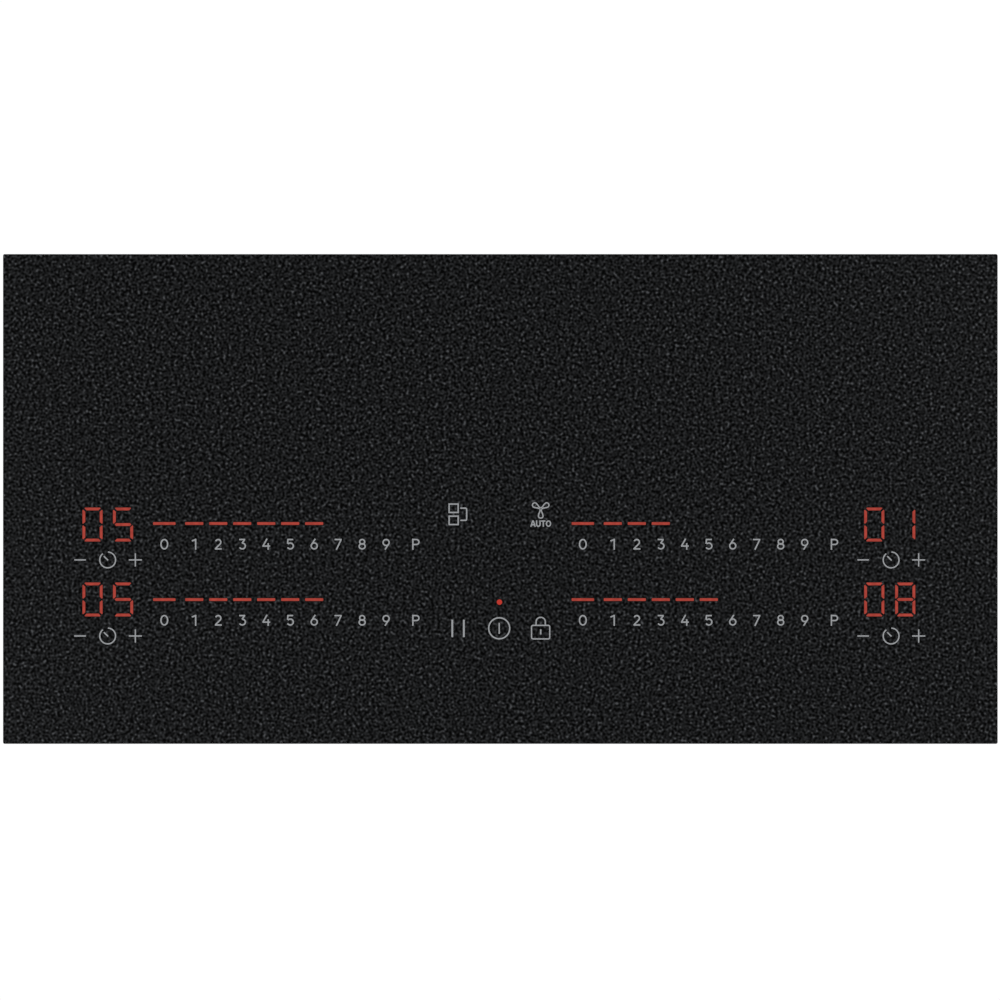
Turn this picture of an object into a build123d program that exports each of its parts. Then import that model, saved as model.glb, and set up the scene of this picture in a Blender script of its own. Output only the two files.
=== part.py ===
"""Built-in induction hob: matt black glass-ceramic top on a sheet-steel tray, four zones, a touch panel.

Millimetres. +X right, +Y to the rear, +Z up. The origin is the centre of the worktop plane under the seal.
"""

import os

from build123d import *

os.makedirs("parts", exist_ok=True)

# ---- driving dimensions -------------------------------------------------------------------------
GLASS_W, GLASS_D, GLASS_T = 880.0, 433.3, 4.0
GLASS_CORNER_R, GLASS_CHAMFER = 1.5, 0.5
SEAL_T, SEAL_WIDTH, SEAL_INSET = 2.0, 10.0, 1.5
OVERHANG = 15.0  # glass beyond the worktop cut-out
CUT_OUT_GAP = 8.0  # cut-out edge to tray wall
SHEET = 1.0
TRAY_FLOOR_Z = -50.0  # underside of the tray floor
TRAY_RIM_Z = -0.5
FOOT_DROP = 2.0
ZONE_PITCH, ZONE_Y = 200.0, 90.0
DECK_TRAVEL = 4.0
CLAMP_TRAVEL = 12.0

# ---- values worked out from them ----------------------------------------------------------------
GLASS_Z = SEAL_T  # underside of the glass
TRAY_W = GLASS_W - 2 * (OVERHANG + CUT_OUT_GAP)
TRAY_D = GLASS_D - 2 * (OVERHANG + CUT_OUT_GAP)
HALF_W, HALF_D = TRAY_W / 2, TRAY_D / 2
FLOOR_TOP = TRAY_FLOOR_Z + SHEET
ZONE_XS = [ZONE_PITCH * (n - 1.5) for n in range(4)]


# ---- helpers ------------------------------------------------------------------------------------
def block(x0, x1, y0, y1, z0, z1):
    """A plain box between two corners."""
    centre = Pos((x0 + x1) / 2, (y0 + y1) / 2, (z0 + z1) / 2)
    return centre * Box(x1 - x0, y1 - y0, z1 - z0)


def rod(x, y, z0, z1, r):
    """An upright cylinder."""
    return Pos(x, y, (z0 + z1) / 2) * Cylinder(r, z1 - z0)


def plate(w, d, z0, z1, r, centre=(0, 0)):
    """A flat plate with rounded corners in plan."""
    outline = Pos(centre[0], centre[1], z0) * RectangleRounded(w, d, r)
    return extrude(outline, z1 - z0)


def tube(x, y, z0, z1, r_out, r_in):
    return rod(x, y, z0, z1, r_out) - rod(x, y, z0 - 1, z1 + 1, r_in)


def rod_along(axis, x, y, z, length, r):
    """A cylinder from (x, y, z), length mm along +X or +Y (negative length goes the other way)."""
    half = length / 2
    if axis == "X":
        return Pos(x + half, y, z) * Rot(0, 90, 0) * Cylinder(r, abs(length))
    return Pos(x, y + half, z) * Rot(90, 0, 0) * Cylinder(r, abs(length))


def cut_all(body, cutters):
    """Takes many small cutters from a body in one operation."""
    return body - Compound([s for c in cutters for s in c.solids()])


def in_panels(folded, regions):
    """Parts a folded sheet shape at its bends, so that each flat panel is a solid of its own."""
    return [folded & region for region in regions]


def save(name, *shapes):
    """Writes one sub-part as a group of its solids."""
    solids = [s for shape in shapes for s in shape.solids()]
    export_step(Compound(solids), f"parts/{name}.step")


def mirrored(shape):
    return mirror(shape, about=Plane.YZ)


# ---- glass, seal, bond and frame ----------------------------------------------------------------
def glass_top():
    slab = plate(GLASS_W, GLASS_D, GLASS_Z, GLASS_Z + GLASS_T, GLASS_CORNER_R)
    rims = slab.faces().sort_by(Axis.Z)
    slab = chamfer(rims[-1].edges(), GLASS_CHAMFER)
    return chamfer(slab.faces().sort_by(Axis.Z)[0].edges(), GLASS_CHAMFER)


def worktop_seal():
    outer_w, outer_d = GLASS_W - 2 * SEAL_INSET, GLASS_D - 2 * SEAL_INSET
    ring = plate(outer_w, outer_d, 0, SEAL_T, 2.0)
    return ring - plate(outer_w - 2 * SEAL_WIDTH, outer_d - 2 * SEAL_WIDTH, -1, SEAL_T + 1, 1.0)


FRAME_GAP = 0.5  # tray wall to frame skirt
FRAME_T = 1.2
FRAME_W = TRAY_W - 2 * (SHEET + FRAME_GAP)
FRAME_D = TRAY_D - 2 * (SHEET + FRAME_GAP)
FRAME_TOP, FRAME_SKIRT_Z = 0.5, -16.0
FLANGE = 12.0
SCREW_Z = -9.0
SCREW_XS, SCREW_YS = (-262, -88, 88, 262), (-112, 112)


def side_holes(r, reach):
    """Cutters for the tray-to-frame screws, through all four walls."""
    holes = []
    for x in SCREW_XS:
        holes += [rod_along("Y", x, s * (HALF_D + 1), SCREW_Z, -s * reach, r) for s in (-1, 1)]
    for y in SCREW_YS:
        holes += [rod_along("X", s * (HALF_W + 1), y, SCREW_Z, -s * reach, r) for s in (-1, 1)]
    return holes


def ring_regions(half_w, z0, z1):
    """Four boxes that share out a ring: both ends whole, and the two long sides between them."""
    far = FRAME_W
    regions = [block(-far, -half_w, -far, far, z0, z1)]
    regions.append(block(half_w, far, -far, far, z0, z1))
    regions.append(block(-half_w, half_w, -far, 0, z0, z1))
    regions.append(block(-half_w, half_w, 0, far, z0, z1))
    return regions


def support_frame():
    """Four angle rails welded at square corners, each a standing leg and a level flange."""
    skirt = plate(FRAME_W, FRAME_D, FRAME_SKIRT_Z, FRAME_TOP, 2.0)
    inner_w, inner_d = FRAME_W - 2 * FRAME_T, FRAME_D - 2 * FRAME_T
    bend_z, low = FRAME_TOP - FRAME_T, FRAME_SKIRT_Z - 1
    skirt -= plate(inner_w, inner_d, low, bend_z, 1.0)
    clear_x, clear_y = FRAME_W / 2 - FLANGE, FRAME_D / 2 - FLANGE
    skirt -= block(-clear_x, clear_x, -clear_y, clear_y, low, GLASS_Z)
    skirt = cut_all(skirt, side_holes(2.0, 6))
    legs = ring_regions(inner_w / 2, low, bend_z)
    flanges = ring_regions(clear_x, bend_z, GLASS_Z)
    return in_panels(skirt, legs + flanges)


def glass_bond():
    ring = plate(FRAME_W - 4, FRAME_D - 4, FRAME_TOP, GLASS_Z, 3.0)
    return ring - plate(FRAME_W - 18, FRAME_D - 18, FRAME_TOP - 1, GLASS_Z + 1, 2.0)


def tray_screws():
    """Pan-head screws through the tray walls into the frame skirt."""
    screws = []
    for x in SCREW_XS:
        for s in (-1, 1):
            head = rod_along("Y", x, s * (HALF_D + 0.02), SCREW_Z, s * 2.0, 3.6)
            head = fillet(head.faces().sort_by(Axis.Y)[0 if s < 0 else -1].edges(), 0.9)
            cross = block(x - 0.45, x + 0.45, -0.6, 0.6, SCREW_Z - 2, SCREW_Z + 2)
            cross += block(x - 2, x + 2, -0.6, 0.6, SCREW_Z - 0.45, SCREW_Z + 0.45)
            head -= Pos(0, s * (HALF_D + 2.0), 0) * cross
            screws.append(head + rod_along("Y", x, s * (HALF_D + 0.5), SCREW_Z, -s * 6, 1.95))
    for y in SCREW_YS:
        for s in (-1, 1):
            head = rod_along("X", s * (HALF_W + 0.02), y, SCREW_Z, s * 2.0, 3.6)
            head = fillet(head.faces().sort_by(Axis.X)[0 if s < 0 else -1].edges(), 0.9)
            cross = block(-0.6, 0.6, y - 0.45, y + 0.45, SCREW_Z - 2, SCREW_Z + 2)
            cross += block(-0.6, 0.6, y - 2, y + 2, SCREW_Z - 0.45, SCREW_Z + 0.45)
            head -= Pos(s * (HALF_W + 2.0), 0, 0) * cross
            screws.append(head + rod_along("X", s * (HALF_W + 0.5), y, SCREW_Z, -s * 6, 1.95))
    return screws


# ---- tray ---------------------------------------------------------------------------------------
FAN_X, FAN_Y = 62.0, 78.0
INLET_R = 30.0
POCKET_HALF_W, POCKET_DEPTH, POCKET_TOP = 40.0, 20.0, -20.0
POCKET_Y = HALF_D - POCKET_DEPTH  # outer face of the pocket's inner wall
GLAND_X, GLAND_Z, GLAND_HOLE_R = -24.0, -35.0, 8.2
DOOR_X0, DOOR_X1, DOOR_Y0, DOOR_Y1 = -36.0, 38.0, 130.0, 168.0
DOOR_SCREWS = ((DOOR_X0 - 5, 149.0), (DOOR_X1 + 5, 149.0))
FOOT_XS, FOOT_YS = (-385, -130, 130, 385), (-165, 165)
BEAD_W = 12.0
SLOT_W = 3.2


def wall_slot(x, y, z0, z1, along):
    """A round-ended upright slot cut through a wall that runs along X or Y."""
    outline = SlotOverall(z1 - z0, SLOT_W)
    turn = Rot(90, 0, 0) * Rot(0, 0, 90) if along == "X" else Rot(0, 90, 0)
    return Pos(x, y, (z0 + z1) / 2) * turn * extrude(outline, 4, both=True)


def floor_bead(x, y, length, along):
    """A stiffening bead pressed 1 mm outwards: the pad outside and the groove inside."""
    turn = Rot(0, 0, 0 if along == "X" else 90)
    pad = Pos(x, y, TRAY_FLOOR_Z - 1) * turn * extrude(SlotOverall(length, BEAD_W), 1.2)
    groove = Pos(x, y, TRAY_FLOOR_Z) * turn * extrude(SlotOverall(length - 2, BEAD_W - 2), 2)
    return pad, groove


def inlet_slots(cx, cy):
    """Curved slots of a fan inlet: four rings, each broken by four webs, round a solid centre."""
    cutters = []
    for r in (8.0, 14.0, 20.0, 26.0):
        ring = tube(cx, cy, TRAY_FLOOR_Z - 2, FLOOR_TOP + 2, r + 1.8, r - 1.8)
        webs = [Pos(cx, cy, 0) * Rot(0, 0, a) * block(-40, 40, -1.8, 1.8, -60, -40) for a in (45, 135)]
        for web in webs:
            ring -= web
        cutters.append(ring)
    return cutters


def tray_regions():
    """Where the tray's sheet is folded or joined: floor, walls and the cable pocket."""
    far_x, far_y, low, high = HALF_W + 5, HALF_D + 5, TRAY_FLOOR_Z - 5, GLASS_Z
    end = HALF_W - 4.5  # a short wall takes the rounded corners with it
    pocket = POCKET_HALF_W + SHEET
    floors = [block(-far_x, -pocket, -far_y, far_y, low, FLOOR_TOP)]
    floors.append(block(pocket, far_x, -far_y, far_y, low, FLOOR_TOP))
    floors.append(block(-pocket, pocket, -far_y, POCKET_Y, low, FLOOR_TOP))
    walls = [block(-far_x, -end, -far_y, far_y, FLOOR_TOP, high)]
    walls.append(block(end, far_x, -far_y, far_y, FLOOR_TOP, high))
    walls.append(block(-end, end, -far_y, 0, FLOOR_TOP, high))
    walls.append(block(-end, -pocket, 0, far_y, FLOOR_TOP, high))
    walls.append(block(pocket, end, 0, far_y, FLOOR_TOP, high))
    recess = [block(-pocket, pocket, 0, POCKET_Y, FLOOR_TOP, high)]
    recess.append(block(-pocket, pocket, POCKET_Y, HALF_D - SHEET, POCKET_TOP, high))
    recess.append(block(-pocket, pocket, HALF_D - SHEET, far_y, POCKET_TOP, high))
    recess.append(block(-pocket, -POCKET_HALF_W, POCKET_Y, far_y, low, POCKET_TOP))
    recess.append(block(POCKET_HALF_W, pocket, POCKET_Y, far_y, low, POCKET_TOP))
    return floors + walls + recess


def base_tray():
    """Folded sheet tray in thirteen panels: floor, walls, and the pocket for the mains cable."""
    tray = plate(TRAY_W, TRAY_D, TRAY_FLOOR_Z, TRAY_RIM_Z, 4.0)
    tray = fillet(tray.faces().sort_by(Axis.Z)[0].edges(), 1.4)
    tray -= plate(TRAY_W - 2 * SHEET, TRAY_D - 2 * SHEET, FLOOR_TOP, TRAY_RIM_Z + 1, 3.0)
    pocket_x, pocket_y = POCKET_HALF_W + SHEET, POCKET_Y - SHEET
    tray += block(-pocket_x, pocket_x, pocket_y, HALF_D - 0.5, FLOOR_TOP - 0.5, POCKET_TOP + SHEET)
    tray -= block(-POCKET_HALF_W, POCKET_HALF_W, POCKET_Y, HALF_D + 2, TRAY_FLOOR_Z - 2, POCKET_TOP)
    beads = [floor_bead(x, -95, 150, "Y") for x in (-330, -220, -110, 110, 220, 330)]
    beads += [floor_bead(0, y, 150, "X") for y in (-150, -95, -40)]
    beads += [floor_bead(s * 250, y, 190, "X") for s in (-1, 1) for y in (40, 140)]
    for x in FOOT_XS:
        for y in FOOT_YS:
            foot = Pos(x, y, TRAY_FLOOR_Z - FOOT_DROP / 2 + 0.1) * Cone(7, 10, FOOT_DROP + 0.2)
            hollow = Pos(x, y, TRAY_FLOOR_Z + 0.2) * Cone(6.2, 9.2, FOOT_DROP + 0.4)
            beads.append((foot, hollow))
    for pad, _ in beads:
        tray += pad
    cutters = [groove for _, groove in beads]
    cutters += inlet_slots(FAN_X, FAN_Y) + inlet_slots(-FAN_X, FAN_Y)
    cutters.append(block(DOOR_X0, DOOR_X1, DOOR_Y0, DOOR_Y1, TRAY_FLOOR_Z - 1, FLOOR_TOP + 1))
    cutters.append(rod_along("Y", GLAND_X, POCKET_Y - 3, GLAND_Z, 6, GLAND_HOLE_R))
    for n in range(14):  # air outlets in both short walls
        y = 30 + 9.0 * n
        cutters += [wall_slot(s * HALF_W, y, -44, -22, "Y") for s in (-1, 1)]
    for n in range(16):  # and in the long walls
        x = 120 + 8.0 * n
        cutters += [wall_slot(s * x, HALF_D, -44, -22, "X") for s in (-1, 1)]
        cutters += [wall_slot(s * x, -HALF_D, -44, -22, "X") for s in (-1, 1)]
    cutters += side_holes(2.1, 4)
    for x, y in DOOR_SCREWS:
        cutters.append(rod(x, y, TRAY_FLOOR_Z - 1, FLOOR_TOP + 1, 1.6))
    return in_panels(cut_all(tray, cutters), tray_regions())


def terminal_cover():
    """Plate over the wiring access, held by two screws of its own."""
    width, depth = DOOR_X1 - DOOR_X0 + 20, DOOR_Y1 - DOOR_Y0 + 8
    centre = ((DOOR_X0 + DOOR_X1) / 2, (DOOR_Y0 + DOOR_Y1) / 2)
    door = plate(width, depth, TRAY_FLOOR_Z - 1.25, TRAY_FLOOR_Z - 0.05, 4.0, centre)
    for x, y in DOOR_SCREWS:
        door -= rod(x, y, TRAY_FLOOR_Z - 3, TRAY_FLOOR_Z + 1, 1.7)
    return door


def terminal_cover_screws():
    screws = []
    for x, y in DOOR_SCREWS:
        head = rod(x, y, TRAY_FLOOR_Z - 1.9, TRAY_FLOOR_Z - 1.27, 2.8)
        screws.append(head + rod(x, y, TRAY_FLOOR_Z - 1.5, FLOOR_TOP + 4, 1.5))
    return screws


def rating_plate():
    return plate(90, 52, TRAY_FLOOR_Z - 0.3, TRAY_FLOOR_Z - 0.02, 2.0, (165, 90))


def centring_springs():
    """Bowed leaf springs on the short walls that centre the hob in its cut-out."""
    reach, half, t = CUT_OUT_GAP - 0.6, 26.0, 0.6
    springs = []
    for y in (-60.0, 60.0):
        outer = ThreePointArc((0, -half), (reach, 0), (0, half))
        inner = ThreePointArc((0, half - 4), (reach - t, 0), (0, -half + 4))
        edge = [outer, Line((0, half), (0, half - 4)), inner, Line((0, -half + 4), (0, -half))]
        leaf = Pos(HALF_W + 0.05, y, -22) * extrude(make_face(Wire(edge)), 12)
        springs += [leaf, mirrored(leaf)]
    return springs


# ---- clamps -------------------------------------------------------------------------------------
CLAMP_X = 330.0
CLAMP_AXIS_Y = HALF_D + 4.3
LUG_T, LUG_LOW_Z = 1.5, -48.5
NUT_Z0, NUT_T = -46.6, 4.0
ARM_T, ARM_LENGTH, ARM_WIDTH = 2.0, 34.0, 7.0
ARM_Z0 = NUT_Z0 + NUT_T + 0.3
LUG_HIGH_Z = ARM_Z0 + ARM_T + CLAMP_TRAVEL + 1.3  # the arm stays under it at the top of its travel
CLAMPS = {"rear_left": (-1, 1), "rear_right": (1, 1), "front_left": (-1, -1), "front_right": (1, -1)}


def clamp_place(corner):
    side, end = CLAMPS[corner]
    return side * CLAMP_X, end * CLAMP_AXIS_Y, side, end


def clamp_brackets():
    lugs = []
    for corner in CLAMPS:
        x, y, _, end = clamp_place(corner)
        y0, y1 = sorted((end * (HALF_D + 0.02), end * (HALF_D + 7.4)))
        for z in (LUG_LOW_Z, LUG_HIGH_Z):
            lug = block(x - 8, x + 8, y0, y1, z, z + LUG_T)
            outer = lug.edges().filter_by(Axis.Z).sort_by(Axis.Y)
            lug = fillet(outer[2:] if end > 0 else outer[:2], 3.0)
            lugs.append(lug - rod(x, y, z - 1, z + LUG_T + 1, 2.65))
    return lugs


def clamp_screws():
    screws = []
    for corner in CLAMPS:
        x, y, _, _ = clamp_place(corner)
        head = rod(x, y, LUG_LOW_Z - 2.6, LUG_LOW_Z - 0.05, 4.0)
        head = fillet(head.faces().sort_by(Axis.Z)[0].edges(), 0.8)
        head -= block(x - 3, x + 3, y - 0.5, y + 0.5, LUG_LOW_Z - 3, LUG_LOW_Z - 1.4)
        head -= block(x - 0.5, x + 0.5, y - 3, y + 3, LUG_LOW_Z - 3, LUG_LOW_Z - 1.4)
        screws.append(head + rod(x, y, LUG_LOW_Z - 1, LUG_HIGH_Z + 4, 2.5))
    return screws


def clamp_nut(corner):
    x, y, _, _ = clamp_place(corner)
    nut = block(x - 3.7, x + 3.7, y - 3.7, y + 3.7, NUT_Z0, NUT_Z0 + NUT_T)
    nut = chamfer(nut.edges().filter_by(Axis.Z), 0.6)
    return nut - rod(x, y, NUT_Z0 - 1, NUT_Z0 + NUT_T + 1, 2.58)


def clamp_arm(corner):
    """Stowed along the wall, pointing to the hob's middle; its end carries two gripping ribs."""
    x, y, side, _ = clamp_place(corner)
    tip = x - side * ARM_LENGTH
    x0, x1 = sorted((x, tip))
    arm = block(x0, x1, y - ARM_WIDTH / 2, y + ARM_WIDTH / 2, ARM_Z0, ARM_Z0 + ARM_T)
    arm = fillet(arm.edges().filter_by(Axis.Z).sort_by(Axis.X)[:2] if side > 0
                 else arm.edges().filter_by(Axis.Z).sort_by(Axis.X)[2:], 2.5)
    arm += rod(x, y, ARM_Z0, ARM_Z0 + ARM_T, 3.9)
    for step in (3.0, 6.5):
        rib_x = tip + side * step
        arm += block(rib_x - 0.6, rib_x + 0.6, y - 2.6, y + 2.6, ARM_Z0 + ARM_T, ARM_Z0 + ARM_T + 0.6)
    return arm - rod(x, y, ARM_Z0 - 1, ARM_Z0 + ARM_T + 1, 2.6)


# ---- sprung coil deck ---------------------------------------------------------------------------
DECK_W, DECK_Y0, DECK_Y1 = 786.0, 2.0, 178.0
DECK_D = DECK_Y1 - DECK_Y0
DECK_Z0, DECK_T, DECK_LIP = -12.6, 1.5, 4.0
FERRITE_Z0, FERRITE_T = DECK_Z0 + DECK_T, 4.8
FORMER_Z0, FORMER_T, FORMER_R = -6.2, 2.4, 86.0
WINDING_Z0, WINDING_T = FORMER_Z0 + FORMER_T + 0.05, 4.2
WINDING_R_OUT, WINDING_R_IN = 82.0, 22.0
MICA_Z0, MICA_T = 0.7, 1.0
HUB_R = 14.0
LEAD_R, LEAD_DX = 62.0, 5.0  # where a coil's two leads pass down through the deck
SPRING_X = (-387.0, -120.0, 120.0, 387.0)
SPRING_Y = (12.0, 168.0)
SPRING_R, SPRING_WIRE = 4.0, 0.6
POST_TOP, POST_R, SPIGOT_R, SPIGOT_TOP = -30.0, 5.0, 2.6, -22.0


def coil_deck_plate():
    deck = block(-DECK_W / 2, DECK_W / 2, DECK_Y0, DECK_Y1, DECK_Z0, DECK_Z0 + DECK_T + DECK_LIP)
    half_w, y0, y1 = DECK_W / 2 - DECK_T, DECK_Y0 + DECK_T, DECK_Y1 - DECK_T
    deck -= block(-half_w, half_w, y0, y1, DECK_Z0 + DECK_T, 5)
    z0, z1 = DECK_Z0 - 1, DECK_Z0 + 3
    cutters = [rod(x, ZONE_Y, z0, z1, 5.0) for x in ZONE_XS]
    cutters += [rod(x, ZONE_Y - LEAD_R, z0, z1, 10.0) for x in ZONE_XS]
    cutters += [rod(x + a, ZONE_Y + b, z0, z1, 3) for x in ZONE_XS for a in (-72, 72) for b in (-72, 72)]
    return cut_all(deck, cutters)


def ferrites():
    bars = []
    for x in ZONE_XS:
        for n in range(8):
            bar = block(26, 80, -7, 7, FERRITE_Z0, FERRITE_Z0 + FERRITE_T)
            bars.append(Pos(x, ZONE_Y, 0) * Rot(0, 0, 45 * n + 22.5) * bar)
    return bars


def coil_former(x):
    disc = rod(x, ZONE_Y, FORMER_Z0, FORMER_Z0 + FORMER_T, FORMER_R)
    disc += rod(x, ZONE_Y, FORMER_Z0, WINDING_Z0 + WINDING_T - 0.3, HUB_R + 4)
    disc -= rod(x, ZONE_Y, FORMER_Z0 - 1, 5, HUB_R)
    rim = tube(x, ZONE_Y, FORMER_Z0, WINDING_Z0 + WINDING_T - 0.3, FORMER_R, FORMER_R - 1.6)
    return disc + rim


def coil_winding(x):
    ring = tube(x, ZONE_Y, WINDING_Z0, WINDING_Z0 + WINDING_T, WINDING_R_OUT, WINDING_R_IN)
    return fillet(ring.edges().filter_by(GeomType.CIRCLE), 1.2)


def mica_sheet():
    sheet = plate(DECK_W - 10, DECK_D - 4, MICA_Z0, MICA_Z0 + MICA_T, 6.0, (0, (DECK_Y0 + DECK_Y1) / 2))
    return cut_all(sheet, [rod(x, ZONE_Y, 0, 3, 7.0) for x in ZONE_XS])


def zone_sensors():
    """A thermistor in a silicone cup at the middle of each zone, in the coil former's bore."""
    cups = []
    for x in ZONE_XS:
        cup = rod(x, ZONE_Y, DECK_Z0 + DECK_T + 0.05, -8.8, 13.6) + rod(x, ZONE_Y, -9.0, 1.6, 5.6)
        cup = fillet(cup.faces().sort_by(Axis.Z)[-1].edges(), 1.0)
        cups.append(cup)
    return cups


def coil_springs():
    """Compression springs between the posts and the deck."""
    turns, low, high = 5.0, POST_TOP + SPRING_WIRE + 0.1, DECK_Z0 - SPRING_WIRE - 0.1
    path = Helix((high - low) / turns, high - low, SPRING_R)
    section = Plane(origin=path @ 0, z_dir=path % 0) * Circle(SPRING_WIRE)
    spring = sweep(section, path, is_frenet=True)
    return [Pos(x, y, low) * spring for x in SPRING_X for y in SPRING_Y]


def coil_leads():
    """Two sleeved litz leads from each coil, down through the deck to the posts on the power board."""
    leads = []
    for zone_x, post_x in zip(ZONE_XS[2:], POST_XS):
        for dx in (-LEAD_DX, LEAD_DX):
            x, y = zone_x + dx, ZONE_Y - LEAD_R
            points = [(x, y, FORMER_Z0 - 0.1), (x, y, -16.0), (post_x + dx, POST_Y, -26.0),
                      (post_x + dx, POST_Y, BOARD_TOP + 6.1)]
            path = FilletPolyline(*points, radius=4.0)
            section = Plane(origin=points[0], z_dir=(0, 0, -1)) * Circle(1.6)
            leads.append(sweep(section, path))
    return leads + [mirrored(lead) for lead in leads]


# ---- power boards, cooling, mains ---------------------------------------------------------------
BOARD_X0, BOARD_X1, BOARD_Y0, BOARD_Y1 = 128.0, 378.0, 22.0, 158.0
BOARD_Z0, BOARD_T = -43.0, 1.6
BOARD_TOP = BOARD_Z0 + BOARD_T
SINK_Y0, SINK_Y1, SINK_X0, SINK_X1 = 92.0, 130.0, 136.0, 322.0
SINK_TOP = DECK_Z0 - DECK_TRAVEL - 3.4  # clear of the deck when it is pressed down
POST_XS, POST_Y = (141.0, 300.0), 61.0  # coil terminal posts
LINER_T = 0.4
RIBBON_X, RIBBON_W = 180.0, 20.0


def power_board():
    board = plate(BOARD_X1 - BOARD_X0, BOARD_Y1 - BOARD_Y0, BOARD_Z0, BOARD_TOP, 3.0,
                  ((BOARD_X0 + BOARD_X1) / 2, (BOARD_Y0 + BOARD_Y1) / 2))
    corners = [(x, y) for x in (BOARD_X0 + 6, BOARD_X1 - 6) for y in (BOARD_Y0 + 6, BOARD_Y1 - 6)]
    return cut_all(board, [rod(x, y, BOARD_Z0 - 1, BOARD_TOP + 1, 2.0) for x, y in corners])


def heat_sink():
    """Extruded along the air flow: an upright spine with level fins."""
    sink = block(SINK_X0, SINK_X1, SINK_Y0, SINK_Y0 + 5, BOARD_TOP + 0.05, SINK_TOP)
    for n in range(6):
        z = BOARD_TOP + 1.2 + 3.7 * n
        sink += block(SINK_X0, SINK_X1, SINK_Y0 + 4, SINK_Y1, z, z + 1.4)
    return sink


def transistors():
    """Flat power packages clipped to the spine, with their three legs down to the board."""
    packages = []
    for n in range(6):
        x = SINK_X0 + 16 + 30 * n
        body = block(x - 8, x + 8, SINK_Y0 - 5.1, SINK_Y0 - 0.1, -36.5, SINK_TOP - 0.5)
        for leg in (-5.4, 0, 5.4):
            body += block(x + leg - 0.6, x + leg + 0.6, SINK_Y0 - 3.2, SINK_Y0 - 2.4, BOARD_TOP + 0.05, -36)
        packages.append(body)
    return packages


def board_parts():
    """Film capacitors, a storage capacitor pair, relays, a toroid choke, connectors and coil posts."""
    top, parts = BOARD_TOP + 0.05, []
    for x in (153, 190, 226, 344):
        film = block(x - 15, x + 15, 28, 46, top, top + 20)
        parts.append(fillet(film.edges().filter_by(Axis.Z), 1.0))
    for x in (254, 276):
        can = rod(x, 37, top, top + 20, 9)
        parts.append(fillet(can.faces().sort_by(Axis.Z)[-1].edges(), 1.2))
    for x in (346, 366):
        relay = block(x - 8, x + 8, 100, 128, top, top + 15)
        parts.append(fillet(relay.edges().filter_by(Axis.Z), 0.8))
    choke = Pos(306, 38, top + 6.2) * Torus(9, 5.5)
    parts.append(choke & block(280, 330, 10, 60, top, top + 12))
    for x in (160, 200, 240):
        socket = block(x - 7, x + 7, 142, 150, top, top + 9)
        parts.append(socket - block(x - 6, x + 6, 143, 149, top + 3, top + 12))
    parts += [rod(x + dx, POST_Y, top, BOARD_TOP + 6, 4.0) for x in POST_XS for dx in (-LEAD_DX, LEAD_DX)]
    parts.append(block(RIBBON_X - 2, RIBBON_X + RIBBON_W + 2, BOARD_Y0 + 1, BOARD_Y0 + 5, top, top + 6))
    return parts


def fan_housing():
    """Scroll blower: inlet below, outlet towards the heat sink, motor stator hanging from the lid."""
    z0, z1, wall = FLOOR_TOP + LINER_T + 0.1, -21.0, 1.6
    outline = Circle(46) + Pos(26, 28) * Rectangle(52, 36)
    room = Circle(46 - wall) + Pos(28, 28) * Rectangle(56 + 2, 36 - 2 * wall)
    shell = Pos(FAN_X, FAN_Y, z0) * extrude(outline, z1 - z0)
    shell -= Pos(FAN_X, FAN_Y, z0 + wall) * extrude(room, z1 - z0 - 2 * wall)
    shell -= rod(FAN_X, FAN_Y, z0 - 1, z0 + wall + 1, INLET_R - 1)
    shell += rod(FAN_X, FAN_Y, -33.0, z1 - wall, 11.0)
    return shell - rod(FAN_X, FAN_Y, -35.0, -24.0, 1.55)


ROTOR_Z0, ROTOR_Z1, ROTOR_R = -45.0, -24.0, 38.0


def fan_rotor():
    """Forward-curved blades between a hub plate and a lower ring; the hub cup turns round the stator."""
    cx, cy = FAN_X, FAN_Y
    disc = rod(cx, cy, -36.0, -34.5, ROTOR_R) + rod(cx, cy, -40.0, -34.5, 14.0)
    cup = tube(cx, cy, -36.0, ROTOR_Z1, 14.0, 12.2)
    lower = tube(cx, cy, ROTOR_Z0, ROTOR_Z0 + 1.4, ROTOR_R, ROTOR_R - 6)
    blades = []
    for n in range(30):
        blade = Pos(ROTOR_R - 3.2, 0, 0) * Rot(0, 0, 35) * block(-3, 3, -0.4, 0.4, ROTOR_Z0 + 0.7, ROTOR_Z1)
        blades.append(Pos(cx, cy, 0) * Rot(0, 0, 12 * n) * blade)
    top = tube(cx, cy, ROTOR_Z1 - 1.2, ROTOR_Z1, ROTOR_R, ROTOR_R - 5)
    shaft = rod(cx, cy, -36.0, -25.0, 1.5)
    return disc + cup + lower + top + shaft + blades


def insulation_liner():
    """Plastic foil on the tray floor under both boards."""
    foil = plate(BOARD_X1 - BOARD_X0 + 14, 100, FLOOR_TOP + 0.02, FLOOR_TOP + 0.02 + LINER_T, 4.0,
                 ((BOARD_X0 + BOARD_X1) / 2, ZONE_Y))
    return [foil, mirrored(foil)]


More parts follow.
